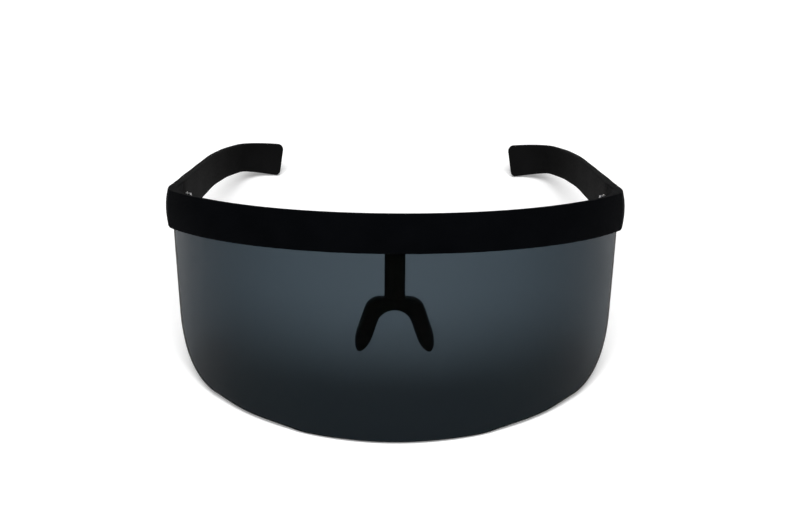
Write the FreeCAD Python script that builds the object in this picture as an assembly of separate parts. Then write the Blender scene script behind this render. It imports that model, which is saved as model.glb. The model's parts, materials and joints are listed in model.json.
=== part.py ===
import FreeCAD, Part
import math
import os
from FreeCAD import Base

# Shield sunglasses: a wrap-round brow bar carries one large lens, a nose saddle and two folding arms.
# Lengths are millimetres and angles are degrees.
# Working axes: X to the wearer's left, Y to the back of the head, Z up, and the brow bar level.
# The zero point is the top edge of the bar's front face, on the centre line.
# The finished pieces are tilted as the glasses stand: on the lens's lower edge and the arms' tips.

# Brow bar: the front face is an arc, and its ends lie a depth behind its middle
FACE_HALF_WIDTH = 76.2
FACE_DEPTH = 46.1
BAR_HEIGHT = 13.0
BAR_WALL = 2.2
FACE_CROWN = 0.4
EDGE_RADIUS = 0.5
LOWER_EDGE_RADIUS = 0.9
GUSSET_ON_BAR = 11.0
GUSSET_ON_ENDPIECE = 5.0

# Arms: the outer line in plan runs from the crease at the bar's end to the tip
ARM_START_HEADING = 76.0
CORNER_LENGTH = 12.0
CORNER_TURN = 19.5
ENDPIECE_LENGTH = 19.5
STRAIGHT_LENGTH = 60.0
SWEEP_LENGTH = 46.0
SWEEP_TURN = 10.5
HOOK_RADIUS = 15.0
HOOK_TURN = 72.0
TIP_LENGTH = 4.0
TIP_DROP = 2.4
TIP_SLANT = 8.0
TIP_CORNER_RADIUS = 2.4
CORNER_THICKNESS = 3.2
BUTT_THICKNESS = 3.4
ARM_THICKNESS = 2.2
WAIST_HEIGHT = 10.9
TIP_HEIGHT = 12.4
ARM_CROWN = 0.9
TIP_CROWN = 0.4
BUTT_GAP = 0.25

# Lens: its outline is drawn on the unrolled front surface
LENS_THICKNESS = 2.0
LENS_DROP = 62.2
LENS_SIDE_INSET = 1.15
LENS_SIDE_LEAN = 10.0
LENS_CORNER_RADIUS = 30.0
LENS_BOTTOM_RADIUS = 225.0
LENS_RIM_RADIUS = 0.4
LENS_TOP_INSET = 2.4
LENS_TAB_CLEARANCE = 1.0

# Strip that clamps the lens to the back of the bar
RETAINER_THICKNESS = 1.4
RETAINER_TOP_INSET = 2.0
RETAINER_BOTTOM_INSET = 0.8
RETAINER_SCREW_COUNT = 3  # on each side of the nose
RETAINER_SCREW_MARGIN = 7.5

# Nose bracket and saddle
BRACKET_THICKNESS = 1.6
FLANGE_HALF_WIDTH = 7.5
FLANGE_HEIGHT = 7.6
BRACKET_SCREW_SPACING = 9.8
STEM_WIDTH = 6.6
STEM_LENGTH = 15.5
STEM_THICKNESS = 1.8
TONGUE_WIDTH = 4.0
TONGUE_LENGTH = 1.6
PAD_DEPTH = 8.0
PAD_SKIN = 1.1
PAD_LENS_CLEARANCE = 0.5
PAD_TOP_HALF_WIDTH = 8.5
PAD_SHOULDER_RADIUS = 5.2
PAD_CROWN = 4.2
PAD_SPLAY = 18.5
PAD_LEG_WIDTH = 5.5
PAD_TIP_REACH = 6.0
PAD_HEIGHT = 17.5
PAD_EDGE_RADIUS = 0.7

# Small screws for the lens strip, the nose bracket and the hinge leaves
SCREW_RADIUS = 0.7
SCREW_HEAD_RADIUS = 1.3
SCREW_HEAD_HEIGHT = 0.7
SCREW_BITE = 1.3
LEAF_SCREW_RADIUS = 0.5
LEAF_SCREW_HEAD_RADIUS = 0.85
LEAF_SCREW_HEAD_HEIGHT = 0.4
LEAF_SCREW_BITE = 1.6
DRIVE_SLOT_WIDTH = 0.3
DRIVE_SLOT_DEPTH = 0.25

# Barrel hinges
BARREL_RADIUS = 1.3
HINGE_PIN_RADIUS = 0.65
HINGE_HEAD_RADIUS = 1.15
HINGE_HEAD_HEIGHT = 0.6
HINGE_MIDDLE_DEPTH = 7.7
MIDDLE_KNUCKLE = 2.6
OUTER_KNUCKLE = 1.6
KNUCKLE_GAP = 0.3
WASHER_PLAY = 0.05
LEAF_THICKNESS = 0.8
FRONT_LEAF_PITCH = 2.2
ARM_LEAF_PITCH = 3.4
LEAF_SCREW_MARGIN = 0.6
LEAF_SCREW_EDGE = 1.4

# Clearances
LAYER_GAP = 0.1
HOLE_CLEARANCE = 0.15
THREAD_CLEARANCE = 0.03
PIN_CLEARANCE = 0.05
SEAT_GAP = 0.03
BARREL_CLEARANCE = 0.25
POCKET_CLEARANCE = 0.1

# Sections drawn along the parts of an arm
CORNER_SECTION_COUNT = 4
STRAIGHT_SECTION_COUNT = 5
SWEEP_SECTION_COUNT = 4
HOOK_SECTION_COUNT = 6
TIP_SECTION_COUNT = 2

# How finely curves are drawn, edges are matched and shapes are sampled to find how the glasses stand
ARC_STEP_COUNT = 8
EDGE_MATCH = 0.001
REST_SAMPLING = 0.02
TILT_SEARCH = (1.0, 60.0)
TILT_STEP_COUNT = 50

UP = FreeCAD.Vector(0, 0, 1)
SIDE = FreeCAD.Vector(1, 0, 0)

FACE_RADIUS = (FACE_HALF_WIDTH ** 2 + FACE_DEPTH ** 2) / (2 * FACE_DEPTH)
FACE_END_ANGLE = math.degrees(math.atan2(FACE_HALF_WIDTH, FACE_RADIUS - FACE_DEPTH))
CENTRE = FreeCAD.Vector(0, FACE_RADIUS, 0)
WALL_INNER_RADIUS = FACE_RADIUS - BAR_WALL
LENS_RADIUS = WALL_INNER_RADIUS - LAYER_GAP
LENS_INNER_RADIUS = LENS_RADIUS - LENS_THICKNESS
RETAINER_RADIUS = LENS_INNER_RADIUS - LAYER_GAP
RETAINER_INNER_RADIUS = RETAINER_RADIUS - RETAINER_THICKNESS
FLANGE_RADIUS = RETAINER_INNER_RADIUS - LAYER_GAP
FLANGE_INNER_RADIUS = FLANGE_RADIUS - BRACKET_THICKNESS
GUSSET_ANGLE = FACE_END_ANGLE - math.degrees(GUSSET_ON_BAR / WALL_INNER_RADIUS)
TAB_ANGLE = GUSSET_ANGLE - math.degrees(LENS_TAB_CLEARANCE / LENS_RADIUS)
LAST_SCREW_ANGLE = TAB_ANGLE - math.degrees(RETAINER_SCREW_MARGIN / RETAINER_RADIUS)
SCREW_LEVEL = -BAR_HEIGHT / 2
FRONT_PARAMETER = 1.5 * math.pi
PAD_TOP = -BAR_HEIGHT - STEM_LENGTH
PAD_HALF_WIDTH = PAD_TOP_HALF_WIDTH + PAD_HEIGHT * math.tan(math.radians(PAD_SPLAY))
PAD_FRONT = FACE_RADIUS - math.sqrt(LENS_INNER_RADIUS ** 2 - PAD_HALF_WIDTH ** 2) + PAD_LENS_CLEARANCE
STEM_FRONT = PAD_FRONT + PAD_SKIN
STEM_BACK = STEM_FRONT + STEM_THICKNESS

ARM_RUNS = (
    (CORNER_LENGTH, CORNER_TURN),
    (ENDPIECE_LENGTH - CORNER_LENGTH + STRAIGHT_LENGTH, 0.0),
    (SWEEP_LENGTH, SWEEP_TURN),
    (HOOK_RADIUS * math.radians(HOOK_TURN), HOOK_TURN),
    (TIP_LENGTH + TIP_CORNER_RADIUS, 0.0),
)
SWEEP_START = ENDPIECE_LENGTH + STRAIGHT_LENGTH
HOOK_START = SWEEP_START + SWEEP_LENGTH
HOOK_END = HOOK_START + HOOK_RADIUS * math.radians(HOOK_TURN)
ARM_END = HOOK_END + TIP_LENGTH
LOFT_END = ARM_END + TIP_CORNER_RADIUS
TEMPLE_START = ENDPIECE_LENGTH + BUTT_GAP / 2
ENDPIECE_END = ENDPIECE_LENGTH - BUTT_GAP / 2

AXIS_OFFSET = BUTT_THICKNESS + BARREL_RADIUS + BARREL_CLEARANCE
LEAF_SEAT = BUTT_THICKNESS - LEAF_THICKNESS
LEAF_FIRST_SCREW = BARREL_RADIUS + LEAF_SCREW_HEAD_RADIUS + LEAF_SCREW_MARGIN
FRONT_LEAF_LENGTH = LEAF_FIRST_SCREW + FRONT_LEAF_PITCH + LEAF_SCREW_EDGE
ARM_LEAF_LENGTH = LEAF_FIRST_SCREW + ARM_LEAF_PITCH + LEAF_SCREW_EDGE
KNUCKLE_BOTTOM = -HINGE_MIDDLE_DEPTH - MIDDLE_KNUCKLE / 2 - KNUCKLE_GAP - OUTER_KNUCKLE
KNUCKLE_TOP = -HINGE_MIDDLE_DEPTH + MIDDLE_KNUCKLE / 2 + KNUCKLE_GAP + OUTER_KNUCKLE


def polar(radius, angle, height=0.0):
    """Point at an angle from straight ahead, on a circle about the bar's centre of curvature."""
    turn = math.radians(angle)
    return CENTRE + FreeCAD.Vector(radius * math.sin(turn), -radius * math.cos(turn), height)


def blend(first, last, share):
    """Smooth change from one value to another as share goes from 0 to 1."""
    share = min(max(share, 0.0), 1.0)
    return first + (last - first) * share * share * (3 - 2 * share)


def mirrored(shape):
    return shape.mirror(FreeCAD.Vector(0, 0, 0), SIDE)


def line(first, last):
    return Part.LineSegment(first, last).toShape()


def arc(first, middle, last):
    return Part.Arc(first, middle, last).toShape()


def ring_band(outer, inner, bottom, top, half_angle):
    """Curved strip about the bar's centre of curvature."""
    corners = [
        polar(outer, -half_angle, bottom),
        polar(outer, -half_angle, top),
        polar(inner, -half_angle, top),
        polar(inner, -half_angle, bottom),
    ]
    face = Part.Face(Part.makePolygon(corners + corners[:1]))
    return face.revolve(CENTRE, UP, 2 * half_angle)


def arm_point(distance):
    """Place and heading of the arm's outer line, a distance back from the crease."""
    place = polar(FACE_RADIUS, FACE_END_ANGLE)
    heading = math.radians(ARM_START_HEADING)
    left = distance
    for length, turn in ARM_RUNS:
        step = min(left, length)
        bend = math.radians(turn) * step / length
        chord = step * math.sin(bend / 2) / (bend / 2) if bend else step
        middle = heading + bend / 2
        place = place + FreeCAD.Vector(math.cos(middle), math.sin(middle), 0) * chord
        heading += bend
        left -= step
    return place, heading


def arm_thickness(distance):
    if distance < ENDPIECE_LENGTH:
        return blend(CORNER_THICKNESS, BUTT_THICKNESS, distance / ENDPIECE_LENGTH)
    return blend(BUTT_THICKNESS, ARM_THICKNESS, (distance - ENDPIECE_LENGTH) / STRAIGHT_LENGTH)


def arm_height(distance):
    if distance < HOOK_START:
        return blend(BAR_HEIGHT, WAIST_HEIGHT, (distance - ENDPIECE_LENGTH) / (HOOK_START - ENDPIECE_LENGTH))
    return blend(WAIST_HEIGHT, TIP_HEIGHT, (distance - HOOK_START) / (ARM_END - HOOK_START))


def arm_crown(distance):
    if distance < CORNER_LENGTH:
        return blend(FACE_CROWN, ARM_CROWN, distance / CORNER_LENGTH)
    return blend(ARM_CROWN, TIP_CROWN, (distance - CORNER_LENGTH) / (ARM_END - CORNER_LENGTH))


def arm_top(distance):
    share = max(distance - SWEEP_START, 0.0) / (ARM_END - SWEEP_START)
    return -TIP_DROP * share ** 2


def band_section(place, heading, thickness, height, crown, top):
    """Outline across the bar or an arm: flat inside, crowned outside, with rounded edges."""
    inward = FreeCAD.Vector(-math.sin(heading), math.cos(heading), 0)

    def at(depth, level):
        return place + inward * depth + UP * (top + level)

    small = EDGE_RADIUS
    large = LOWER_EDGE_RADIUS
    small_cut = small * (1 - math.sqrt(0.5))
    large_cut = large * (1 - math.sqrt(0.5))
    return Part.Wire([
        line(at(small, 0), at(thickness - small, 0)),
        arc(at(thickness - small, 0), at(thickness - small_cut, -small_cut), at(thickness, -small)),
        line(at(thickness, -small), at(thickness, small - height)),
        arc(
            at(thickness, small - height),
            at(thickness - small_cut, small_cut - height),
            at(thickness - small, -height),
        ),
        line(at(thickness - small, -height), at(large, -height)),
        arc(at(large, -height), at(large_cut, large_cut - height), at(0, large - height)),
        arc(at(0, large - height), at(-crown, -height / 2), at(0, -small)),
        arc(at(0, -small), at(small_cut, -small_cut), at(small, 0)),
    ])


def arm_section(distance):
    place, heading = arm_point(distance)
    return band_section(
        place,
        heading,
        arm_thickness(distance),
        arm_height(distance),
        arm_crown(distance),
        arm_top(distance),
    )


def stations(first, last, count):
    return [first + (last - first) * step / count for step in range(count + 1)]


def hinge_frame():
    """Frame at the butt line: local X runs back along the arm, local Y inwards, local Z up."""
    place, heading = arm_point(ENDPIECE_LENGTH)
    return FreeCAD.Placement(place, FreeCAD.Rotation(UP, math.degrees(heading)))


def placed(shape, placement):
    moved = shape.copy()
    moved.Placement = placement.multiply(shape.Placement)
    return moved


def block(x_range, y_range, z_range):
    """Box between two ends along each local axis."""
    size = [high - low for low, high in (x_range, y_range, z_range)]
    corner = FreeCAD.Vector(x_range[0], y_range[0], z_range[0])
    return Part.makeBox(*size, corner)


def screw(head_radius, head_height, radius, length):
    """Slotted screw with its head's seat at the zero point and its shank along Z."""
    head = Part.makeCylinder(head_radius, head_height, FreeCAD.Vector(0, 0, -head_height))
    shank = Part.makeCylinder(radius, length)
    half_slot = DRIVE_SLOT_WIDTH / 2
    slot = block(
        (-head_radius, head_radius),
        (-half_slot, half_slot),
        (-head_height, DRIVE_SLOT_DEPTH - head_height),
    )
    return head.fuse(shank).removeSplitter().cut(slot)


def radial_placement(angle, radius):
    """Placement whose Z points forwards through the bar, from a radius about its centre."""
    outward = polar(1.0, angle) - CENTRE
    rotation = FreeCAD.Rotation(FreeCAD.Vector(0, 0, 1), outward)
    return FreeCAD.Placement(polar(radius, angle, SCREW_LEVEL), rotation)


def radial_hole(angle, radius, first, last):
    """Cylinder that cuts a hole through the layers behind the bar's face."""
    outward = polar(1.0, angle) - CENTRE
    return Part.makeCylinder(radius, last - first, polar(first, angle, SCREW_LEVEL), outward)


def both_sides(angles):
    return [sign * angle for angle in angles for sign in (-1, 1)]


RETAINER_ANGLES = both_sides([
    LAST_SCREW_ANGLE * (step + 1) / RETAINER_SCREW_COUNT for step in range(RETAINER_SCREW_COUNT)
])
BRACKET_ANGLES = both_sides([math.degrees(math.asin(BRACKET_SCREW_SPACING / 2 / FLANGE_RADIUS))])
SCREW_TIP_RADIUS = WALL_INNER_RADIUS + SCREW_BITE


def layer_holes(clearance, first, last, angles):
    return [radial_hole(angle, SCREW_RADIUS + clearance, first, last) for angle in angles]


def make_gusset():
    """Web that fills the inside corner where the bar turns into an endpiece."""
    bar_side = polar(WALL_INNER_RADIUS, GUSSET_ANGLE)
    place, heading = arm_point(GUSSET_ON_ENDPIECE)
    inward = FreeCAD.Vector(-math.sin(heading), math.cos(heading), 0)
    arm_side = place + inward * arm_thickness(GUSSET_ON_ENDPIECE)
    chord = arm_side - bar_side
    turn = heading - math.radians(GUSSET_ANGLE)
    outward = FreeCAD.Vector(chord.y, -chord.x, 0) / chord.Length
    middle = (bar_side + arm_side) / 2 + outward * (chord.Length / 2 * math.tan(turn / 4))
    inside_bar = polar(FACE_RADIUS - BAR_WALL / 2, GUSSET_ANGLE)
    inside_corner = polar(FACE_RADIUS - BAR_WALL / 2, FACE_END_ANGLE)
    inside_mid = polar(FACE_RADIUS - BAR_WALL / 2, (GUSSET_ANGLE + FACE_END_ANGLE) / 2)
    inside_arm = place + inward * (arm_thickness(GUSSET_ON_ENDPIECE) / 2)
    outline = Part.Wire([
        arc(bar_side, middle, arm_side),
        line(arm_side, inside_arm),
        line(inside_arm, inside_corner),
        arc(inside_corner, inside_mid, inside_bar),
        line(inside_bar, bar_side),
    ])
    return Part.Face(outline).extrude(UP * -BAR_HEIGHT)


def leaf_pocket(x_range):
    """Space for a hinge leaf in the inner face of an endpiece or an arm."""
    return placed(
        block(
            x_range,
            (LEAF_SEAT, AXIS_OFFSET),
            (KNUCKLE_BOTTOM - POCKET_CLEARANCE, KNUCKLE_TOP + POCKET_CLEARANCE),
        ),
        hinge_frame(),
    )


def leaf_screw_places(direction, pitch):
    """Screw seats on a leaf, along it from the butt line."""
    return [
        FreeCAD.Vector(direction * along, BUTT_THICKNESS, -HINGE_MIDDLE_DEPTH)
        for along in (LEAF_FIRST_SCREW, LEAF_FIRST_SCREW + pitch)
    ]


def leaf_screw_holes(direction, pitch, clearance):
    depth = LEAF_THICKNESS + LEAF_SCREW_BITE + THREAD_CLEARANCE
    holes = [
        Part.makeCylinder(LEAF_SCREW_RADIUS + clearance, depth, place, FreeCAD.Vector(0, -1, 0))
        for place in leaf_screw_places(direction, pitch)
    ]
    return [placed(hole, hinge_frame()) for hole in holes]


def make_brow_bar():
    outline = band_section(
        polar(FACE_RADIUS, -FACE_END_ANGLE),
        math.radians(-FACE_END_ANGLE),
        BAR_WALL,
        BAR_HEIGHT,
        FACE_CROWN,
        0.0,
    )
    bar = Part.Face(outline).revolve(CENTRE, UP, 2 * FACE_END_ANGLE)
    crease = band_section(
        polar(FACE_RADIUS, FACE_END_ANGLE),
        math.radians(FACE_END_ANGLE),
        CORNER_THICKNESS,
        BAR_HEIGHT,
        FACE_CROWN,
        0.0,
    )
    stops = stations(0.0, CORNER_LENGTH, CORNER_SECTION_COUNT)[1:] + [ENDPIECE_END]
    sections = [arm_section(distance) for distance in stops]
    endpiece = Part.makeLoft([crease] + sections, True, False)
    end = endpiece.fuse(make_gusset())
    end = end.cut(leaf_pocket((-FRONT_LEAF_LENGTH - POCKET_CLEARANCE, BUTT_GAP)))
    end = end.cut(leaf_screw_holes(-1, FRONT_LEAF_PITCH, THREAD_CLEARANCE))
    bar = bar.fuse([end, mirrored(end)]).removeSplitter()
    holes = layer_holes(
        THREAD_CLEARANCE,
        RETAINER_INNER_RADIUS,
        SCREW_TIP_RADIUS + THREAD_CLEARANCE,
        RETAINER_ANGLES + BRACKET_ANGLES,
    )
    return bar.cut(holes)


def on_lens(surface, runs):
    """Edges on a lens surface from runs of unrolled points: two points are a line, more a smooth curve."""
    edges = []
    for run in runs:
        points = [Base.Vector2d(FRONT_PARAMETER + along / LENS_RADIUS, level) for along, level in run]
        if len(points) == 2:
            curve = Part.Geom2d.Line2dSegment(*points)
        else:
            curve = Part.Geom2d.BSplineCurve2d()
            curve.interpolate(points)
        edges.append(curve.toShape(surface))
    return edges


def arc_points(centre, radius, first, last):
    """Points along an arc of the unrolled outline."""
    return [
        (centre[0] + radius * math.cos(angle), centre[1] + radius * math.sin(angle))
        for angle in stations(first, last, ARC_STEP_COUNT)
    ]


def lens_outline():
    """Lens outline on the unrolled front surface, as runs of points going round it."""
    tab = LENS_RADIUS * math.radians(TAB_ANGLE)
    tab_top = -LENS_TOP_INSET
    side = LENS_RADIUS * math.asin((FACE_HALF_WIDTH - LENS_SIDE_INSET) / LENS_RADIUS)
    shoulder = -BAR_HEIGHT - LAYER_GAP
    lean = math.radians(LENS_SIDE_LEAN)
    radius = LENS_CORNER_RADIUS
    wide_centre = LENS_BOTTOM_RADIUS - BAR_HEIGHT - LENS_DROP
    # The corner's centre lies down the side line, a radius inside it, and a radius inside the wide arc.
    slope = math.tan(lean)
    start = side - radius / math.cos(lean)
    rise = shoulder - wide_centre
    middle = start * slope + rise
    rest = start ** 2 + rise ** 2 - (LENS_BOTTOM_RADIUS - radius) ** 2
    drop = (middle + math.sqrt(middle ** 2 - (1 + slope ** 2) * rest)) / (1 + slope ** 2)
    centre = (start - slope * drop, shoulder - drop)
    touch = math.atan2(centre[1] - wide_centre, centre[0])
    corner = arc_points(centre, radius, -lean, touch)
    bottom = arc_points((0.0, wide_centre), LENS_BOTTOM_RADIUS, touch, -math.pi - touch)
    bottom[0] = corner[-1]
    bottom[-1] = (-corner[-1][0], corner[-1][1])
    left_half = [
        [(tab, tab_top), (tab, shoulder)],
        [(tab, shoulder), (side, shoulder)],
        [(side, shoulder), corner[0]],
        corner,
    ]
    right_half = [[(-along, level) for along, level in reversed(run)] for run in reversed(left_half)]
    return [[(-tab, tab_top), (tab, tab_top)]] + left_half + [bottom] + right_half


def free_rim(lens):
    """Front and back edges of the lens that stand clear of the bar."""
    shoulder = -BAR_HEIGHT - LAYER_GAP
    return [
        edge for edge in lens.Edges
        if edge.BoundBox.Center.z < shoulder - EDGE_MATCH and edge.Length > LENS_THICKNESS + EDGE_MATCH
    ]


def make_lens():
    surfaces = []
    for radius in (LENS_RADIUS, LENS_INNER_RADIUS):
        surface = Part.Cylinder()
        surface.Radius = radius
        surface.Center = CENTRE
        surfaces.append(surface)
    outline = lens_outline()
    rims = [on_lens(surface, outline) for surface in surfaces]
    faces = [Part.Face(surface, Part.Wire(rim)) for surface, rim in zip(surfaces, rims)]
    faces += [Part.makeRuledSurface(front, back) for front, back in zip(*rims)]
    shell = Part.makeShell(faces)
    shell.sewShape()
    lens = Part.makeSolid(Part.Shell(shell.Faces))
    if lens.Volume < 0:
        lens.reverse()
    lens = lens.makeFillet(LENS_RIM_RADIUS, free_rim(lens))
    holes = layer_holes(
        HOLE_CLEARANCE,
        RETAINER_INNER_RADIUS,
        FACE_RADIUS,
        RETAINER_ANGLES + BRACKET_ANGLES,
    )
    return lens.cut(holes)


def make_lens_retainer():
    strip = ring_band(
        RETAINER_RADIUS,
        RETAINER_INNER_RADIUS,
        RETAINER_BOTTOM_INSET - BAR_HEIGHT,
        -RETAINER_TOP_INSET,
        TAB_ANGLE,
    )
    holes = layer_holes(HOLE_CLEARANCE, FLANGE_INNER_RADIUS, FACE_RADIUS, RETAINER_ANGLES + BRACKET_ANGLES)
    return strip.cut(holes)


def layer_screws(angles, seat):
    """Screws whose heads sit at a radius and whose shanks bite into the bar."""
    start = seat - SEAT_GAP
    length = SCREW_TIP_RADIUS - start
    one = screw(SCREW_HEAD_RADIUS, SCREW_HEAD_HEIGHT, SCREW_RADIUS, length)
    return Part.makeCompound([placed(one, radial_placement(angle, start)) for angle in angles])


def make_nose_bracket():
    half_angle = math.degrees(math.asin(FLANGE_HALF_WIDTH / FLANGE_RADIUS))
    top = SCREW_LEVEL + FLANGE_HEIGHT / 2
    flange = ring_band(FLANGE_RADIUS, FLANGE_INNER_RADIUS, top - FLANGE_HEIGHT, top, half_angle)
    stem_sides = (-STEM_WIDTH / 2, STEM_WIDTH / 2)
    flange_middle = FACE_RADIUS - FLANGE_RADIUS + BRACKET_THICKNESS / 2
    root = block(stem_sides, (flange_middle, STEM_BACK), (top - FLANGE_HEIGHT, top))
    stem = block(stem_sides, (STEM_FRONT, STEM_BACK), (PAD_TOP, top))
    tongue = block(
        (-TONGUE_WIDTH / 2, TONGUE_WIDTH / 2),
        (STEM_FRONT, STEM_BACK),
        (PAD_TOP - TONGUE_LENGTH, PAD_TOP),
    )
    holes = layer_holes(HOLE_CLEARANCE, FLANGE_INNER_RADIUS - BRACKET_THICKNESS, FACE_RADIUS, BRACKET_ANGLES)
    return flange.fuse([root, stem, tongue]).removeSplitter().cut(holes)


def pad_outline(depth):
    """Front view of the saddle: a rounded bridge with two splayed legs."""

    def at(across, level):
        return FreeCAD.Vector(across, depth, PAD_TOP + level)

    splay = math.radians(PAD_SPLAY)
    down = (math.sin(splay), -math.cos(splay))
    out = (math.cos(splay), math.sin(splay))
    half_leg = PAD_LEG_WIDTH / 2
    # Round shoulder between the flat top and the outer side of a leg.
    turn = math.pi / 2 - splay
    reach = PAD_SHOULDER_RADIUS * math.tan(turn / 2)
    shoulder = (PAD_TOP_HALF_WIDTH - reach, -PAD_SHOULDER_RADIUS)
    half_turn = math.pi / 2 - turn / 2
    shoulder_middle = (
        shoulder[0] + PAD_SHOULDER_RADIUS * math.cos(half_turn),
        shoulder[1] + PAD_SHOULDER_RADIUS * math.sin(half_turn),
    )
    outer_top = (PAD_TOP_HALF_WIDTH + reach * down[0], reach * down[1])
    # Drawn-out round tip on the leg's middle line.
    tip_level = PAD_TIP_REACH * out[0] - PAD_HEIGHT
    tip_across = PAD_TOP_HALF_WIDTH - half_leg / out[0] - tip_level * math.tan(splay)
    tip_outer = (tip_across + half_leg * out[0], tip_level + half_leg * out[1])
    tip_end = (tip_across + PAD_TIP_REACH * down[0], tip_level + PAD_TIP_REACH * down[1])
    tip_inner = (tip_across - half_leg * out[0], tip_level - half_leg * out[1])
    # Arch that touches both legs' inner sides.
    inner_across = PAD_TOP_HALF_WIDTH - PAD_LEG_WIDTH / out[0]
    arch = (inner_across * out[0] + PAD_CROWN * out[1]) / (1 - out[1])
    arch_side = (arch * out[0], -PAD_CROWN - arch + arch * out[1])

    def mirror(point):
        return at(-point[0], point[1])

    def tip(end, side, middle):
        oval = Part.Ellipse(end, side, middle)
        return Part.ArcOfEllipse(oval, -math.pi / 2, math.pi / 2).toShape()

    return Part.Wire([
        line(at(-shoulder[0], 0), at(shoulder[0], 0)),
        arc(at(shoulder[0], 0), at(*shoulder_middle), at(*outer_top)),
        line(at(*outer_top), at(*tip_outer)),
        tip(at(*tip_end), at(*tip_outer), at(tip_across, tip_level)),
        line(at(*tip_inner), at(*arch_side)),
        arc(at(*arch_side), at(0, -PAD_CROWN), mirror(arch_side)),
        line(mirror(arch_side), mirror(tip_inner)),
        tip(mirror(tip_end), mirror(tip_outer), at(-tip_across, tip_level)),
        line(mirror(tip_outer), mirror(outer_top)),
        arc(mirror(outer_top), mirror(shoulder_middle), at(-shoulder[0], 0)),
    ])


def make_nose_pad():
    outline = pad_outline(PAD_FRONT)
    pad = Part.Face(outline).extrude(FreeCAD.Vector(0, PAD_DEPTH, 0))
    rims = [edge for edge in pad.Edges if abs(edge.BoundBox.YLength) < EDGE_MATCH]
    pad = pad.makeFillet(PAD_EDGE_RADIUS, rims)
    play = POCKET_CLEARANCE
    pocket = block(
        (-TONGUE_WIDTH / 2 - play, TONGUE_WIDTH / 2 + play),
        (STEM_FRONT - play, STEM_BACK + play),
        (PAD_TOP - TONGUE_LENGTH - play, PAD_TOP + play),
    )
    return pad.cut(pocket)


def make_temple():
    stops = stations(TEMPLE_START, SWEEP_START, STRAIGHT_SECTION_COUNT)
    stops += stations(SWEEP_START, HOOK_START, SWEEP_SECTION_COUNT)[1:]
    stops += stations(HOOK_START, HOOK_END, HOOK_SECTION_COUNT)[1:]
    stops += stations(HOOK_END, LOFT_END, TIP_SECTION_COUNT)[1:]
    temple = Part.makeLoft([arm_section(distance) for distance in stops], True, False)
    temple = temple.cut(make_tip_waste())
    temple = temple.cut(leaf_pocket((-BUTT_GAP, ARM_LEAF_LENGTH + POCKET_CLEARANCE)))
    return temple.cut(leaf_screw_holes(1, ARM_LEAF_PITCH, THREAD_CLEARANCE))


def rounded_corner(corner, first, second, radius):
    """Ends and middle of the arc that rounds a corner between two directions."""
    spread = first.getAngle(second)
    reach = radius / math.tan(spread / 2)
    towards = (first + second).normalize()
    middle = corner + towards * (radius / math.sin(spread / 2) - radius)
    return corner + first * reach, middle, corner + second * reach


def make_tip_waste():
    """What is trimmed off the arm's end: it leaves a slanted end with rounded corners."""
    place, heading = arm_point(ARM_END)
    top = arm_top(ARM_END)
    height = arm_height(ARM_END)
    slope = 2 * TIP_DROP / (ARM_END - SWEEP_START)
    back = FreeCAD.Vector(-1, 0, slope).normalize()
    upper = FreeCAD.Vector(0, 0, top)
    lower = FreeCAD.Vector(-height * math.tan(math.radians(TIP_SLANT)), 0, top - height)
    end = (lower - upper).normalize()
    upper_arc = rounded_corner(upper, back, end, TIP_CORNER_RADIUS)
    lower_arc = rounded_corner(lower, end * -1, back, TIP_CORNER_RADIUS)
    above = upper_arc[0] + UP * height
    below = lower_arc[2] - UP * height
    beyond = FreeCAD.Vector(height, 0, 0)
    outline = Part.Wire([
        arc(*upper_arc),
        line(upper_arc[2], lower_arc[0]),
        arc(*lower_arc),
        line(lower_arc[2], below),
        line(below, below + beyond),
        line(below + beyond, above + beyond),
        line(above + beyond, above),
        line(above, upper_arc[0]),
    ])
    margin = FreeCAD.Vector(0, ARM_THICKNESS, 0)
    outline.translate(margin * -1)
    waste = Part.Face(outline).extrude(margin * 3)
    return placed(waste, FreeCAD.Placement(place, FreeCAD.Rotation(UP, math.degrees(heading))))


def knuckle(bottom, height, bore):
    """Ring of the hinge barrel, on the fold axis."""
    foot = FreeCAD.Vector(0, AXIS_OFFSET, bottom)
    return Part.makeCylinder(BARREL_RADIUS, height, foot).cut(Part.makeCylinder(bore, height, foot))


def make_leaf(direction, length, pitch, knuckles, bore):
    """Hinge leaf: a plate let into the plastic, with webs that carry its knuckles."""
    ends = sorted((direction * BUTT_GAP / 2, direction * length))
    web_ends = sorted((direction * BUTT_GAP / 2, direction * BARREL_RADIUS))
    plate = block(ends, (LEAF_SEAT, BUTT_THICKNESS), (KNUCKLE_BOTTOM, KNUCKLE_TOP))
    leaf = placed(plate, hinge_frame())
    bore_way = Part.makeCylinder(
        bore,
        KNUCKLE_TOP - KNUCKLE_BOTTOM,
        FreeCAD.Vector(0, AXIS_OFFSET, KNUCKLE_BOTTOM),
    )
    for bottom, height in knuckles:
        web = block(web_ends, (LEAF_SEAT, AXIS_OFFSET), (bottom, bottom + height))
        ring = knuckle(bottom, height, bore)
        leaf = leaf.fuse(placed(web.cut(bore_way).fuse(ring), hinge_frame()))
    return leaf.removeSplitter().cut(leaf_screw_holes(direction, pitch, HOLE_CLEARANCE))


def make_front_leaf():
    outer = [(KNUCKLE_BOTTOM, OUTER_KNUCKLE), (KNUCKLE_TOP - OUTER_KNUCKLE, OUTER_KNUCKLE)]
    return make_leaf(-1, FRONT_LEAF_LENGTH, FRONT_LEAF_PITCH, outer, HINGE_PIN_RADIUS + THREAD_CLEARANCE)


def make_arm_leaf():
    middle = [(-HINGE_MIDDLE_DEPTH - MIDDLE_KNUCKLE / 2, MIDDLE_KNUCKLE)]
    return make_leaf(1, ARM_LEAF_LENGTH, ARM_LEAF_PITCH, middle, HINGE_PIN_RADIUS + PIN_CLEARANCE)


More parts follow.
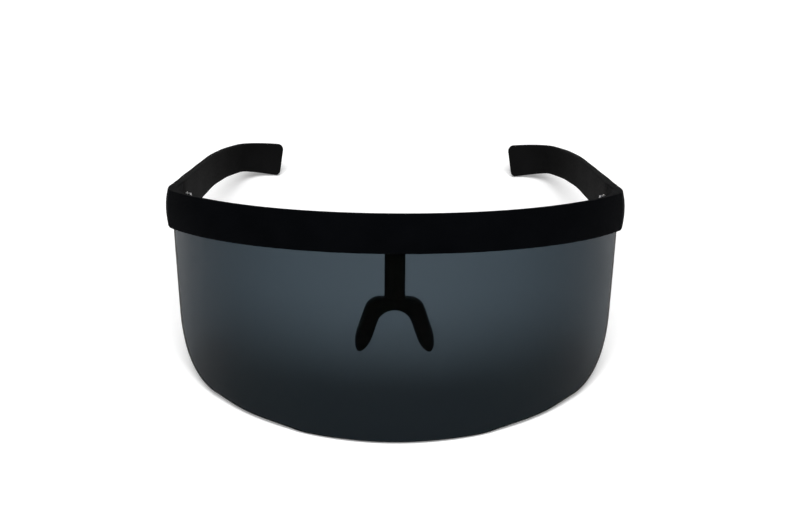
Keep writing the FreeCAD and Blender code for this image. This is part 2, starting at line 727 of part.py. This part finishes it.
def leaf_screws(direction, pitch):
    length = LEAF_THICKNESS + LEAF_SCREW_BITE
    one = screw(LEAF_SCREW_HEAD_RADIUS, LEAF_SCREW_HEAD_HEIGHT, LEAF_SCREW_RADIUS, length)
    outward = FreeCAD.Rotation(UP, FreeCAD.Vector(0, -1, 0))
    lift = FreeCAD.Vector(0, SEAT_GAP, 0)
    screws = [
        placed(one, hinge_frame().multiply(FreeCAD.Placement(place + lift, outward)))
        for place in leaf_screw_places(direction, pitch)
    ]
    return Part.makeCompound(screws)


def make_hinge_screw():
    one = screw(HINGE_HEAD_RADIUS, HINGE_HEAD_HEIGHT, HINGE_PIN_RADIUS, KNUCKLE_TOP - KNUCKLE_BOTTOM)
    head_up = FreeCAD.Rotation(SIDE, 180)
    seat = FreeCAD.Vector(0, AXIS_OFFSET, KNUCKLE_TOP + SEAT_GAP)
    return placed(one, hinge_frame().multiply(FreeCAD.Placement(seat, head_up)))


def make_hinge_washers():
    middle_top = -HINGE_MIDDLE_DEPTH + MIDDLE_KNUCKLE / 2
    middle_bottom = -HINGE_MIDDLE_DEPTH - MIDDLE_KNUCKLE / 2
    thickness = KNUCKLE_GAP - 2 * WASHER_PLAY
    washers = [
        knuckle(bottom + WASHER_PLAY, thickness, HINGE_PIN_RADIUS + PIN_CLEARANCE)
        for bottom in (middle_top, middle_bottom - KNUCKLE_GAP)
    ]
    return Part.makeCompound([placed(washer, hinge_frame()) for washer in washers])


def build_pieces():
    """Every piece of the glasses, with the brow bar level."""
    pieces = {
        "brow_bar": make_brow_bar(),
        "lens": make_lens(),
        "lens_retainer": make_lens_retainer(),
        "retainer_screws": layer_screws(RETAINER_ANGLES, RETAINER_INNER_RADIUS),
        "nose_bracket": make_nose_bracket(),
        "nose_bracket_screws": layer_screws(BRACKET_ANGLES, FLANGE_INNER_RADIUS),
        "nose_pad": make_nose_pad(),
    }
    left_side = {
        "temple": make_temple(),
        "hinge_front_leaf": make_front_leaf(),
        "hinge_temple_leaf": make_arm_leaf(),
        "front_leaf_screws": leaf_screws(-1, FRONT_LEAF_PITCH),
        "temple_leaf_screws": leaf_screws(1, ARM_LEAF_PITCH),
        "hinge_screw": make_hinge_screw(),
        "hinge_washers": make_hinge_washers(),
    }
    for name, shape in left_side.items():
        pieces[name + "_left"] = shape
        pieces[name + "_right"] = mirrored(shape)
    return pieces


def sample_points(shape):
    return shape.tessellate(REST_SAMPLING)[0]


def rest_placement(pieces):
    """Placement that stands the glasses on the lens and the arms' tips, over the middle of their box."""
    lens_points = sample_points(pieces["lens"])
    tip_points = sample_points(pieces["temple_left"])

    def lowest(points, turn):
        return min(point.z * math.cos(turn) - point.y * math.sin(turn) for point in points)

    low, high = (math.radians(angle) for angle in TILT_SEARCH)
    for _ in range(TILT_STEP_COUNT):
        turn = (low + high) / 2
        if lowest(lens_points, turn) < lowest(tip_points, turn):
            low = turn
        else:
            high = turn
    tilt = FreeCAD.Rotation(SIDE, -math.degrees(low))
    points = [tilt.multVec(point) for shape in pieces.values() for point in sample_points(shape)]
    depths = [point.y for point in points]
    floor = min(point.z for point in points)
    shift = FreeCAD.Vector(0, -(min(depths) + max(depths)) / 2, -floor)
    return FreeCAD.Placement(shift, tilt)


PIECES = build_pieces()
REST = rest_placement(PIECES)
FOLD_AXIS_POINT = REST.multVec(hinge_frame().multVec(FreeCAD.Vector(0, AXIS_OFFSET, -HINGE_MIDDLE_DEPTH)))
FOLD_AXIS = REST.Rotation.multVec(UP)

os.makedirs("parts", exist_ok=True)
for node, piece in PIECES.items():
    placed(piece, REST).exportStep("parts/" + node + ".step")
print("left fold axis through", FOLD_AXIS_POINT, "along", FOLD_AXIS)
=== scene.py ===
import json
import math

import bmesh
import bpy
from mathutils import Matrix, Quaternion, Vector


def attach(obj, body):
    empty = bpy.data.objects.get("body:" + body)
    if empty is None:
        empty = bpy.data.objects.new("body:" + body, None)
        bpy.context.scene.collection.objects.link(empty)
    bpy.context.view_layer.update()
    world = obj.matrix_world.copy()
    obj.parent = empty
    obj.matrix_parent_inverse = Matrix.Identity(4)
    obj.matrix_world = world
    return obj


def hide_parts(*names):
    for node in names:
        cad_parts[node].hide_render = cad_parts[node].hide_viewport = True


# Shield sunglasses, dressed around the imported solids. Lengths are metres and angles are degrees.

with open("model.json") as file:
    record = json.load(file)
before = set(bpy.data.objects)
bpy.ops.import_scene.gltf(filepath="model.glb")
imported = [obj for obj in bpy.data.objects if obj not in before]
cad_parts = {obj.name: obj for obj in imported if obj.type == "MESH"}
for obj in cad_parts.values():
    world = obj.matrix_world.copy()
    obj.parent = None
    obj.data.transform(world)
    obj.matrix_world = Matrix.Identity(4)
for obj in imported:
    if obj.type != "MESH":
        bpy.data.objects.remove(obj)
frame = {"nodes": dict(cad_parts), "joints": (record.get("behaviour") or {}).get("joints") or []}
bpy.context.view_layer.update()

MILLIMETRE = 0.001
WHITE = (1.0, 1.0, 1.0, 1.0)

# Camera: the photograph's viewpoint, worked out from the bar, the lens and the arms
PICTURE_WIDTH = 790
FOCAL_PIXELS = 2239.4
SENSOR_WIDTH = 36.0
CAMERA_DISTANCE = 0.750
CAMERA_ELEVATION = 29.48
CAMERA_ROLL = 0.35
CAMERA_TARGET = Vector((0.0, -0.04298, 0.04018))

# Light: a soft box at each side, and a white sweep that fades into a dim room
LAMP_STRENGTH = 2.9
LAMP_BREADTH = 44.0
LAMP_SIDE = 20.0
LAMP_ELEVATION = 65.0
SWEEP_LEVEL = 0.9
SWEEP_RISE = 0.35
ROOM_LEVEL = 0.13

# Floor: it is lifted for the eye, and less so in reflections and through the lens
FLOOR_REACH = 6.0
FLOOR_LIFT = 0.22
FLOOR_LIFT_IN_LENS = 0.13
FLOOR_TONES = ((0.97, 0.97, 0.97), (0.99, 0.99, 0.99))
FLOOR_CLOUDS = 12.0

# Standing pose: the brow bar's plane slopes down to the back
FOLD = next(joint for joint in frame["joints"] if joint["name"] == "temple_left_fold")
UP = Vector(FOLD["axis"]).normalized()
BACK = Vector((0.0, UP.z, -UP.y))

# Noise: where most of its values lie, and how fine its detail is. Each material gives the number of its
# clouds and grains to the metre.
NOISE_RANGE = (0.3, 0.7)
FULL_RANGE = (0.0, 1.0)
NOISE_ROUGHNESS = 0.55
CLOUD_DETAIL = 4.0
GLOSS_DETAIL = 3.0
GRAIN_DETAIL = 2.0

# Black plastic: the arms are a little paler than the bar
BAR_TONES = ((0.0011, 0.0014, 0.0019), (0.0019, 0.0022, 0.0029))
ARM_TONES = ((0.0046, 0.0046, 0.0047), (0.0062, 0.0062, 0.0064))
PLASTIC_CLOUDS = 90.0
PLASTIC_SHINE = 0.01
PLASTIC_ROUGHNESS = (0.6, 0.75)
PLASTIC_GLOSS_CLOUDS = 1400.0
PLASTIC_GRAIN = 5200.0
PLASTIC_GRAIN_HEIGHT = 0.00003
PLASTIC_GRAIN_STRENGTH = 0.25

# Lens: refraction, how much of each colour its thickness swallows, and a dark ground edge on clear plastic
LENS_IOR = 1.33
LENS_DENSITY = 1490.0
LENS_TINT = (0.02, 0.12, 0.185, 1.0)
LENS_SHINE = (0.16, 0.16, 0.16, 1.0)
LENS_ROUGHNESS = (0.0, 0.03)
LENS_GLOSS_CLOUDS = 130.0
LENS_CLEAR_AND_EDGE_TONES = ((1.0, 1.0, 1.0), (0.004, 0.006, 0.008))
LENS_EDGE_ROUGHNESS = 0.5
LENS_EDGE_START = 0.85
LENS_EDGE_FULL = 0.35

# Silicone
SILICONE_TONES = ((0.014, 0.0145, 0.016), (0.02, 0.0207, 0.0225))
SILICONE_CLOUDS = 160.0
SILICONE_SHINE = 0.06
SILICONE_ROUGHNESS = (0.38, 0.5)
SILICONE_GLOSS_CLOUDS = 420.0
SILICONE_GRAIN = 2600.0
SILICONE_GRAIN_HEIGHT = 0.00002
SILICONE_GRAIN_STRENGTH = 0.2

# Steel: drawn lines, stretched along one way
HINGE_TONES = ((0.48, 0.47, 0.45), (0.66, 0.65, 0.63))
HINGE_ROUGHNESS = (0.24, 0.38)
SCREW_TONES = ((0.42, 0.42, 0.43), (0.6, 0.6, 0.61))
SCREW_ROUGHNESS = (0.2, 0.34)
STEEL_GLOSS_CLOUDS = 700.0
STEEL_LINES = (9000.0, 600.0, 9000.0)
STEEL_LINE_DETAIL = 3.0
STEEL_LINE_HEIGHT = 0.000008
STEEL_LINE_STRENGTH = 0.3

# Nylon: light goes a short way into it
NYLON_TONES = ((0.68, 0.67, 0.62), (0.78, 0.77, 0.73))
NYLON_CLOUDS = 900.0
NYLON_ROUGHNESS = 0.4
NYLON_GLOW = 0.3
NYLON_GLOW_REACH = (0.0006, 0.0005, 0.0004)

# Nose saddle, in millimetres as moulded: heights are below its flat top
PAD_TOP_HALF_WIDTH = 8.5
PAD_SHOULDER_RADIUS = 5.2
PAD_CROWN = 4.2
PAD_SPLAY = 18.5
PAD_LEG_WIDTH = 5.5
PAD_TIP_REACH = 6.0
PAD_HEIGHT = 17.5
PAD_DEPTH = 8.0

# How the saddle's skin is drawn: rings from its middle to each tip, of which the last few get less deep
SADDLE_RING_COUNT = 40
SADDLE_CORNER_COUNT = 24
SADDLE_ARC_STEP_COUNT = 12
SADDLE_SQUARENESS = 3.2
SADDLE_END_RING_COUNT = 4
SADDLE_END_FULLNESS = 0.65
SADDLE_POINT_SIZE = 1e-6


def new_object(name, data):
    """New object in the scene."""
    thing = bpy.data.objects.new(name, data)
    bpy.context.scene.collection.objects.link(thing)
    return thing


def look_for(name):
    """New material, with handles to its nodes and to its principled shader."""
    material = bpy.data.materials.new(name)
    material.use_nodes = True
    tree = material.node_tree
    return material, tree, tree.nodes["Principled BSDF"]


def noise(tree, scale, detail):
    """Noise in the object's own coordinates, so that it stays on the surface."""
    place = tree.nodes.new("ShaderNodeTexCoord")
    texture = tree.nodes.new("ShaderNodeTexNoise")
    texture.inputs["Scale"].default_value = scale
    texture.inputs["Detail"].default_value = detail
    texture.inputs["Roughness"].default_value = NOISE_ROUGHNESS
    tree.links.new(place.outputs["Object"], texture.inputs["Vector"])
    return texture.outputs["Fac"]


def spread(tree, value, source, target):
    """Maps a value from one range to another."""
    node = tree.nodes.new("ShaderNodeMapRange")
    node.inputs["From Min"].default_value = source[0]
    node.inputs["From Max"].default_value = source[1]
    node.inputs["To Min"].default_value = target[0]
    node.inputs["To Max"].default_value = target[1]
    tree.links.new(value, node.inputs["Value"])
    return node.outputs["Result"]


def larger(tree, first, second):
    """The larger of two values."""
    node = tree.nodes.new("ShaderNodeMath")
    node.operation = "MAXIMUM"
    tree.links.new(first, node.inputs[0])
    tree.links.new(second, node.inputs[1])
    return node.outputs["Value"]


def two_tone(tree, value, tones):
    """Colour that goes from the first tone to the second with a value."""
    node = tree.nodes.new("ShaderNodeValToRGB")
    for stop, position, tone in zip(node.color_ramp.elements, NOISE_RANGE, tones):
        stop.position = position
        stop.color = (*tone, 1.0)
    tree.links.new(value, node.inputs["Fac"])
    return node.outputs["Color"]


def cloudy_tone(tree, shader, clouds, tones):
    """Colours the surface in soft patches."""
    patches = noise(tree, clouds, CLOUD_DETAIL)
    tree.links.new(two_tone(tree, patches, tones), shader.inputs["Base Color"])


def cloudy_gloss(tree, clouds, roughness):
    """Roughness that varies in soft patches."""
    return spread(tree, noise(tree, clouds, GLOSS_DETAIL), NOISE_RANGE, roughness)


def bump(tree, shader, height, distance, strength):
    """Fine relief from a height value, as deep as the distance."""
    node = tree.nodes.new("ShaderNodeBump")
    node.inputs["Distance"].default_value = distance
    node.inputs["Strength"].default_value = strength
    tree.links.new(height, node.inputs["Height"])
    tree.links.new(node.outputs["Normal"], shader.inputs["Normal"])


def black_plastic(name, tones):
    """Black moulded plastic with a fine matte grain."""
    material, tree, shader = look_for(name)
    cloudy_tone(tree, shader, PLASTIC_CLOUDS, tones)
    satin = cloudy_gloss(tree, PLASTIC_GLOSS_CLOUDS, PLASTIC_ROUGHNESS)
    tree.links.new(satin, shader.inputs["Roughness"])
    shader.inputs["Specular IOR Level"].default_value = PLASTIC_SHINE
    grain = noise(tree, PLASTIC_GRAIN, GRAIN_DETAIL)
    bump(tree, shader, grain, PLASTIC_GRAIN_HEIGHT, PLASTIC_GRAIN_STRENGTH)
    return material


def silicone():
    """Soft black silicone with a satin skin."""
    material, tree, shader = look_for("black_silicone")
    cloudy_tone(tree, shader, SILICONE_CLOUDS, SILICONE_TONES)
    satin = cloudy_gloss(tree, SILICONE_GLOSS_CLOUDS, SILICONE_ROUGHNESS)
    tree.links.new(satin, shader.inputs["Roughness"])
    shader.inputs["Specular IOR Level"].default_value = SILICONE_SHINE
    grain = noise(tree, SILICONE_GRAIN, GRAIN_DETAIL)
    bump(tree, shader, grain, SILICONE_GRAIN_HEIGHT, SILICONE_GRAIN_STRENGTH)
    return material


def vector_step(tree, operation, first, second):
    """One step of vector arithmetic between a socket and a socket or a fixed vector."""
    node = tree.nodes.new("ShaderNodeVectorMath")
    node.operation = operation
    for socket, value in zip(node.inputs, (first, second)):
        if isinstance(value, Vector):
            socket.default_value = value
        elif value is not None:
            tree.links.new(value, socket)
    return node.outputs["Value" if operation == "DOT_PRODUCT" else "Vector"]


def lens_centre():
    """A point on the axis of the lens's cylinder."""
    points = [vertex.co for vertex in frame["nodes"]["lens"].data.vertices]
    front = min(point.dot(BACK) for point in points)
    side = max(points, key=lambda point: point.x)
    depth = side.dot(BACK) - front
    radius = (side.x ** 2 + depth ** 2) / (2 * depth)
    return BACK * (front + radius)


def ground_edge(tree):
    """1 on the lens's cut edge and 0 on its two polished faces, from the way the surface faces."""
    place = tree.nodes.new("ShaderNodeTexCoord")
    outward = vector_step(tree, "SUBTRACT", place.outputs["Object"], lens_centre())
    slid = vector_step(tree, "PROJECT", outward, UP)
    radial = vector_step(tree, "NORMALIZE", vector_step(tree, "SUBTRACT", outward, slid), None)
    facing = vector_step(tree, "DOT_PRODUCT", radial, place.outputs["Normal"])
    size = tree.nodes.new("ShaderNodeMath")
    size.operation = "ABSOLUTE"
    tree.links.new(facing, size.inputs[0])
    return spread(tree, size.outputs["Value"], (LENS_EDGE_FULL, LENS_EDGE_START), (1.0, 0.0))


def smoke_lens():
    """Clear polished plastic that is tinted right through, with a ground edge."""
    material, tree, shader = look_for("smoke_lens")
    edge = ground_edge(tree)
    tree.links.new(two_tone(tree, edge, LENS_CLEAR_AND_EDGE_TONES), shader.inputs["Base Color"])
    tree.links.new(spread(tree, edge, FULL_RANGE, (1.0, 0.0)), shader.inputs["Transmission Weight"])
    shader.inputs["IOR"].default_value = LENS_IOR
    shader.inputs["Specular Tint"].default_value = LENS_SHINE
    polish = cloudy_gloss(tree, LENS_GLOSS_CLOUDS, LENS_ROUGHNESS)
    ground = spread(tree, edge, FULL_RANGE, (0.0, LENS_EDGE_ROUGHNESS))
    tree.links.new(larger(tree, polish, ground), shader.inputs["Roughness"])
    tint = tree.nodes.new("ShaderNodeVolumeAbsorption")
    tint.inputs["Color"].default_value = LENS_TINT
    tint.inputs["Density"].default_value = LENS_DENSITY
    tree.links.new(tint.outputs["Volume"], tree.nodes["Material Output"].inputs["Volume"])
    return material


def drawn_lines(tree):
    """Noise stretched into fine lines along one way."""
    place = tree.nodes.new("ShaderNodeTexCoord")
    stretch = tree.nodes.new("ShaderNodeMapping")
    stretch.inputs["Scale"].default_value = STEEL_LINES
    tree.links.new(place.outputs["Object"], stretch.inputs["Vector"])
    lines = tree.nodes.new("ShaderNodeTexNoise")
    lines.inputs["Scale"].default_value = 1.0
    lines.inputs["Detail"].default_value = STEEL_LINE_DETAIL
    tree.links.new(stretch.outputs["Vector"], lines.inputs["Vector"])
    return lines.outputs["Fac"]


def steel(name, tones, roughness):
    """Drawn metal: fine lines along one way, with a little cloudiness."""
    material, tree, shader = look_for(name)
    shader.inputs["Metallic"].default_value = 1.0
    lines = drawn_lines(tree)
    tree.links.new(two_tone(tree, lines, tones), shader.inputs["Base Color"])
    tree.links.new(cloudy_gloss(tree, STEEL_GLOSS_CLOUDS, roughness), shader.inputs["Roughness"])
    bump(tree, shader, lines, STEEL_LINE_HEIGHT, STEEL_LINE_STRENGTH)
    return material


def nylon():
    """Natural nylon, slightly see-through at its edges."""
    material, tree, shader = look_for("natural_nylon")
    cloudy_tone(tree, shader, NYLON_CLOUDS, NYLON_TONES)
    shader.inputs["Roughness"].default_value = NYLON_ROUGHNESS
    shader.inputs["Subsurface Weight"].default_value = NYLON_GLOW
    shader.inputs["Subsurface Radius"].default_value = NYLON_GLOW_REACH
    return material


def dress(material, *pieces):
    """Gives a material to these pieces, on both sides where there is one at each side."""
    for name, node in frame["nodes"].items():
        if name.removesuffix("_left").removesuffix("_right") in pieces:
            node.data.materials.clear()
            node.data.materials.append(material)


def dress_solids():
    """Every piece that shows as its solid gets its material."""
    dress(black_plastic("bar_plastic", BAR_TONES), "brow_bar", "lens_retainer", "nose_bracket")
    dress(black_plastic("arm_plastic", ARM_TONES), "temple")
    dress(smoke_lens(), "lens")
    dress(steel("hinge_steel", HINGE_TONES, HINGE_ROUGHNESS), "hinge_front_leaf", "hinge_temple_leaf")
    screw_steel = steel("screw_steel", SCREW_TONES, SCREW_ROUGHNESS)
    dress(screw_steel, "retainer_screws", "nose_bracket_screws", "hinge_screw")
    dress(screw_steel, "front_leaf_screws", "temple_leaf_screws")
    dress(nylon(), "hinge_washers")


def arc_line(centre, radius, first, last):
    """Points along an arc in the saddle's plane. Its two angles are radians."""
    steps = range(SADDLE_ARC_STEP_COUNT + 1)
    angles = [first + (last - first) * step / SADDLE_ARC_STEP_COUNT for step in steps]
    return [
        Vector((centre[0] + radius * math.cos(angle), centre[1] + radius * math.sin(angle)))
        for angle in angles
    ]


def leg_end(tip, out, down, half_width):
    """Rounded end of a leg, from one of its flanks to its lowest point."""
    turns = [math.pi / 2 * step / SADDLE_ARC_STEP_COUNT for step in range(SADDLE_ARC_STEP_COUNT + 1)]
    return [
        tip + out * (half_width * math.cos(turn)) + down * (PAD_TIP_REACH * math.sin(turn))
        for turn in turns
    ]


def along(line, count):
    """Evenly spaced points along a line of points."""
    lengths = [0.0]
    for first, last in zip(line, line[1:]):
        lengths.append(lengths[-1] + (last - first).length)
    points = []
    piece = 0
    for step in range(count + 1):
        target = lengths[-1] * step / count
        while piece < len(line) - 2 and lengths[piece + 1] < target:
            piece += 1
        run = lengths[piece + 1] - lengths[piece]
        share = (target - lengths[piece]) / run if run else 0.0
        points.append(line[piece].lerp(line[piece + 1], share))
    return points


def saddle_lines():
    """Outer and inner line of the saddle's right half, from the middle of its top to the tip."""
    splay = math.radians(PAD_SPLAY)
    down = Vector((math.sin(splay), -math.cos(splay)))
    out = Vector((math.cos(splay), math.sin(splay)))
    half_leg = PAD_LEG_WIDTH / 2
    tip_level = PAD_TIP_REACH * out.x - PAD_HEIGHT
    tip = Vector((PAD_TOP_HALF_WIDTH - half_leg / out.x - tip_level * math.tan(splay), tip_level))
    reach = PAD_SHOULDER_RADIUS * math.tan((math.pi / 2 - splay) / 2)
    shoulder = (PAD_TOP_HALF_WIDTH - reach, -PAD_SHOULDER_RADIUS)
    outer = [Vector((0.0, 0.0))] + arc_line(shoulder, PAD_SHOULDER_RADIUS, math.pi / 2, splay)
    outer += leg_end(tip, out, down, half_leg)
    inner_across = PAD_TOP_HALF_WIDTH - PAD_LEG_WIDTH / out.x
    arch = (inner_across * out.x + PAD_CROWN * out.y) / (1 - out.y)
    inner = arc_line((0.0, -PAD_CROWN - arch), arch, math.pi / 2, splay)
    inner += leg_end(tip, out, down, -half_leg)
    return along(outer, SADDLE_RING_COUNT), along(inner, SADDLE_RING_COUNT)


def saddle_sections():
    """Pairs of points on the outer and the inner line, from tip to tip."""
    right = list(zip(*saddle_lines()))
    left = [(Vector((-high.x, high.y)), Vector((-low.x, low.y))) for high, low in reversed(right[1:])]
    return left + right


def saddle_placer():
    """Function that takes a place in the saddle, in millimetres, to where the solid pad stands."""
    points = [vertex.co for vertex in frame["nodes"]["nose_pad"].data.vertices]
    top = max(point.dot(UP) for point in points)
    front = min(point.dot(BACK) for point in points)

    def place(across, depth, level):
        sideways = Vector((across * MILLIMETRE, 0.0, 0.0))
        return sideways + BACK * (front + depth * MILLIMETRE) + UP * (top + level * MILLIMETRE)

    return place


def ring_fullness(index, total):
    """Share of its full depth that a ring has: the last few before each tip have less."""
    ends = min(index, total - 1 - index) / SADDLE_END_RING_COUNT
    if ends >= 1:
        return 1.0
    return math.sqrt(1 - (1 - ends) ** 2) * (1 - SADDLE_END_FULLNESS) + SADDLE_END_FULLNESS


def squared(value):
    """Sine or cosine drawn outwards, so that a ring is a rounded square."""
    return math.copysign(abs(value) ** (2 / SADDLE_SQUARENESS), value)


def saddle_ring(mesh, place, section, fullness):
    """Ring of points round a section, or one point where the two lines meet."""
    high, low = section
    middle = (high + low) / 2
    half = (high - low) / 2
    middle_depth = PAD_DEPTH / 2
    if half.length < SADDLE_POINT_SIZE:
        return [mesh.verts.new(place(middle.x, middle_depth, middle.y))]
    ring = []
    for corner in range(SADDLE_CORNER_COUNT):
        angle = 2 * math.pi * corner / SADDLE_CORNER_COUNT
        point = middle + half * squared(math.cos(angle))
        depth = middle_depth * (1 + squared(math.sin(angle)) * fullness)
        ring.append(mesh.verts.new(place(point.x, depth, point.y)))
    return ring


def join_rings(mesh, first, second):
    """Faces between two rings, of which one may be a single point."""
    for corner in range(SADDLE_CORNER_COUNT):
        following = (corner + 1) % SADDLE_CORNER_COUNT
        quad = [first[corner % len(first)], first[following % len(first)]]
        quad += [second[following % len(second)], second[corner % len(second)]]
        unique = list(dict.fromkeys(quad))
        if len(unique) > 2:
            mesh.faces.new(unique)


def saddle_mesh():
    """Rounded sections strung between the saddle's outer and inner lines, from tip to tip."""
    mesh = bmesh.new()
    place = saddle_placer()
    sections = saddle_sections()
    rings = []
    for index, section in enumerate(sections):
        rings.append(saddle_ring(mesh, place, section, ring_fullness(index, len(sections))))
    for first, second in zip(rings, rings[1:]):
        join_rings(mesh, first, second)
    bmesh.ops.recalc_face_normals(mesh, faces=mesh.faces)
    data = bpy.data.meshes.new("nose_saddle")
    mesh.to_mesh(data)
    mesh.free()
    for polygon in data.polygons:
        polygon.use_smooth = True
    return data


def make_nose_saddle():
    """Soft saddle in the place of the solid pad."""
    data = saddle_mesh()
    saddle = new_object("nose_saddle", data)
    finer = saddle.modifiers.new("finer", "SUBSURF")
    finer.levels = 1
    finer.render_levels = 1
    data.materials.append(silicone())
    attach(saddle, "front")
    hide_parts("nose_pad")


def floor_lift(tree):
    """Brightness that the floor adds for the eye, and less so in reflections and through the lens."""
    rays = tree.nodes.new("ShaderNodeLightPath")
    direct = spread(tree, rays.outputs["Is Camera Ray"], FULL_RANGE, (0.0, FLOOR_LIFT))
    mirrored = spread(tree, rays.outputs["Is Glossy Ray"], FULL_RANGE, (0.0, FLOOR_LIFT_IN_LENS))
    through = spread(tree, rays.outputs["Is Transmission Ray"], FULL_RANGE, (0.0, FLOOR_LIFT_IN_LENS))
    return larger(tree, direct, larger(tree, mirrored, through))


def white_table():
    """Matte white, a little lifted so that it meets the white of the picture."""
    material, tree, shader = look_for("white_table")
    cloudy_tone(tree, shader, FLOOR_CLOUDS, FLOOR_TONES)
    shader.inputs["Roughness"].default_value = 1.0
    shader.inputs["Specular IOR Level"].default_value = 0.0
    shader.inputs["Emission Color"].default_value = WHITE
    tree.links.new(floor_lift(tree), shader.inputs["Emission Strength"])
    return material


def make_floor():
    """Table top that runs out of the picture on all sides."""
    data = bpy.data.meshes.new("floor")
    signs = ((-1, -1), (1, -1), (1, 1), (-1, 1))
    corners = [(x * FLOOR_REACH, y * FLOOR_REACH, 0.0) for x, y in signs]
    data.from_pydata(corners, [], [(0, 1, 2, 3)])
    data.materials.append(white_table())
    floor = new_object("floor", data)


def make_sweep():
    """White sweep round the horizon that fades into a dim room above."""
    world = bpy.data.worlds.new("studio")
    bpy.context.scene.world = world
    world.use_nodes = True
    tree = world.node_tree
    place = tree.nodes.new("ShaderNodeTexCoord")
    split = tree.nodes.new("ShaderNodeSeparateXYZ")
    tree.links.new(place.outputs["Generated"], split.inputs["Vector"])
    sweep = spread(tree, split.outputs["Z"], (0.0, SWEEP_RISE), (SWEEP_LEVEL, ROOM_LEVEL))
    background = tree.nodes["Background"]
    tree.links.new(sweep, background.inputs["Strength"])
    background.inputs["Color"].default_value = WHITE


def make_lamps():
    """A soft box at each side, above and in front."""
    for name, side in (("lamp_left", LAMP_SIDE), ("lamp_right", -LAMP_SIDE)):
        data = bpy.data.lights.new(name, "SUN")
        data.energy = LAMP_STRENGTH / 2
        data.angle = math.radians(LAMP_BREADTH)
        lamp = new_object(name, data)
        lamp.rotation_euler = (math.radians(90.0 - LAMP_ELEVATION), 0.0, math.radians(side))


def make_camera():
    """Camera that looks at the front from above, at the photograph's distance."""
    data = bpy.data.cameras.new("camera")
    data.sensor_fit = "HORIZONTAL"
    data.sensor_width = SENSOR_WIDTH
    data.lens = FOCAL_PIXELS / PICTURE_WIDTH * SENSOR_WIDTH
    camera = new_object("camera", data)
    rise = math.radians(CAMERA_ELEVATION)
    towards = Vector((0.0, -math.cos(rise), math.sin(rise)))
    camera.location = CAMERA_TARGET + towards * CAMERA_DISTANCE
    level = (-towards).to_track_quat("-Z", "Y")
    roll = Quaternion((0.0, 0.0, 1.0), math.radians(CAMERA_ROLL))
    camera.rotation_euler = (level @ roll).to_euler()
    bpy.context.scene.camera = camera


dress_solids()
make_nose_saddle()
make_floor()
make_sweep()
make_lamps()
make_camera()
bpy.context.scene.view_settings.view_transform = "Standard"

bpy.context.view_layer.update()
